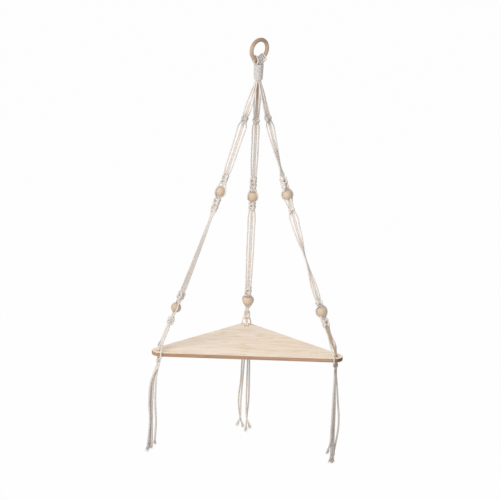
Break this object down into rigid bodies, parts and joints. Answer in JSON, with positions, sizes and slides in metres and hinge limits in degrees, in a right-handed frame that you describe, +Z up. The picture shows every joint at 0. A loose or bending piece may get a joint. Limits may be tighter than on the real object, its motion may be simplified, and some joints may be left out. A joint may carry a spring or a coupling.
{
  "type": "hanging corner shelf",
  "caption": "Triangular wooden corner shelf hung from a ring on three knotted cotton arms with wooden beads and tassels.",
  "frame": {"origin": "inner top of the hanging ring, where the ring sits on its hook", "axes": "+Z up along the plumb line, -Y to the front (the board's long edge), +Y to the room corner, +X to the viewer's right"},
  "size_m": [0.3763, 0.2077, 0.8456],
  "materials": {
    "cotton_cord": "matt twisted cotton, undyed",
    "board_wood": "pale pine, sanded, unvarnished",
    "bead_wood": "pale turned wood, smooth",
    "ring_wood": "beech, bent and sanded, smooth"
  },
  "bodies": {
    "ring": {"hanging_ring": "ring_wood"},
    "sling": {"loop_1": "cotton_cord", "loop_2": "cotton_cord", "loop_3": "cotton_cord", "loop_4": "cotton_cord", "loop_5": "cotton_cord", "loop_6": "cotton_cord", "gathering_wrap": "cotton_cord", "shelf_board": "board_wood", "left_arm_minus_working_cord": "cotton_cord", "left_arm_plus_working_cord": "cotton_cord", "left_arm_minus_filler_cord": "cotton_cord", "left_arm_plus_filler_cord": "cotton_cord", "back_arm_minus_working_cord": "cotton_cord", "back_arm_plus_working_cord": "cotton_cord", "back_arm_minus_filler_cord": "cotton_cord", "back_arm_plus_filler_cord": "cotton_cord", "right_arm_minus_working_cord": "cotton_cord", "right_arm_plus_working_cord": "cotton_cord", "right_arm_minus_filler_cord": "cotton_cord", "right_arm_plus_filler_cord": "cotton_cord", "left_tassel_minus": "cotton_cord", "left_tassel_plus": "cotton_cord", "left_tassel_minus_filler": "cotton_cord", "left_tassel_plus_filler": "cotton_cord", "back_tassel_minus": "cotton_cord", "back_tassel_plus": "cotton_cord", "back_tassel_minus_filler": "cotton_cord", "back_tassel_plus_filler": "cotton_cord", "right_tassel_minus": "cotton_cord", "right_tassel_plus": "cotton_cord", "right_tassel_minus_filler": "cotton_cord", "right_tassel_plus_filler": "cotton_cord"},
    "left_upper_bead": {"left_upper_bead": "bead_wood"},
    "left_lower_bead": {"left_lower_bead": "bead_wood"},
    "back_upper_bead": {"back_upper_bead": "bead_wood"},
    "back_lower_bead": {"back_lower_bead": "bead_wood"},
    "right_upper_bead": {"right_upper_bead": "bead_wood"},
    "right_lower_bead": {"right_lower_bead": "bead_wood"}
  },
  "joints": [
    {"name": "sling_swing", "type": "hinge", "parent": "ring", "child": "sling", "pos_m": [0, 0, -0.036], "axis": [0.766, 0.6428, 0], "range_deg": [-45, 45]},
    {"name": "left_upper_bead_spin", "type": "hinge", "parent": "sling", "child": "left_upper_bead", "pos_m": [-0.06506, -0.02132, -0.30147], "axis": [-0.2903, -0.0919, -0.9525], "continuous": true},
    {"name": "left_lower_bead_spin", "type": "hinge", "parent": "sling", "child": "left_lower_bead", "pos_m": [-0.14262, -0.04589, -0.53489], "axis": [-0.3366, -0.1068, -0.9356], "continuous": true},
    {"name": "back_upper_bead_spin", "type": "hinge", "parent": "sling", "child": "back_upper_bead", "pos_m": [0, 0.04727, -0.33072], "axis": [0, 0.201, -0.9796], "continuous": true},
    {"name": "back_lower_bead_spin", "type": "hinge", "parent": "sling", "child": "back_lower_bead", "pos_m": [0, 0.10199, -0.56446], "axis": [0, 0.2543, -0.9671], "continuous": true},
    {"name": "right_upper_bead_spin", "type": "hinge", "parent": "sling", "child": "right_upper_bead", "pos_m": [0.0658, -0.02155, -0.3039], "axis": [0.2908, -0.092, -0.9523], "continuous": true},
    {"name": "right_lower_bead_spin", "type": "hinge", "parent": "sling", "child": "right_lower_bead", "pos_m": [0.14198, -0.04569, -0.53311], "axis": [0.3362, -0.1066, -0.9357], "continuous": true}
  ]
}
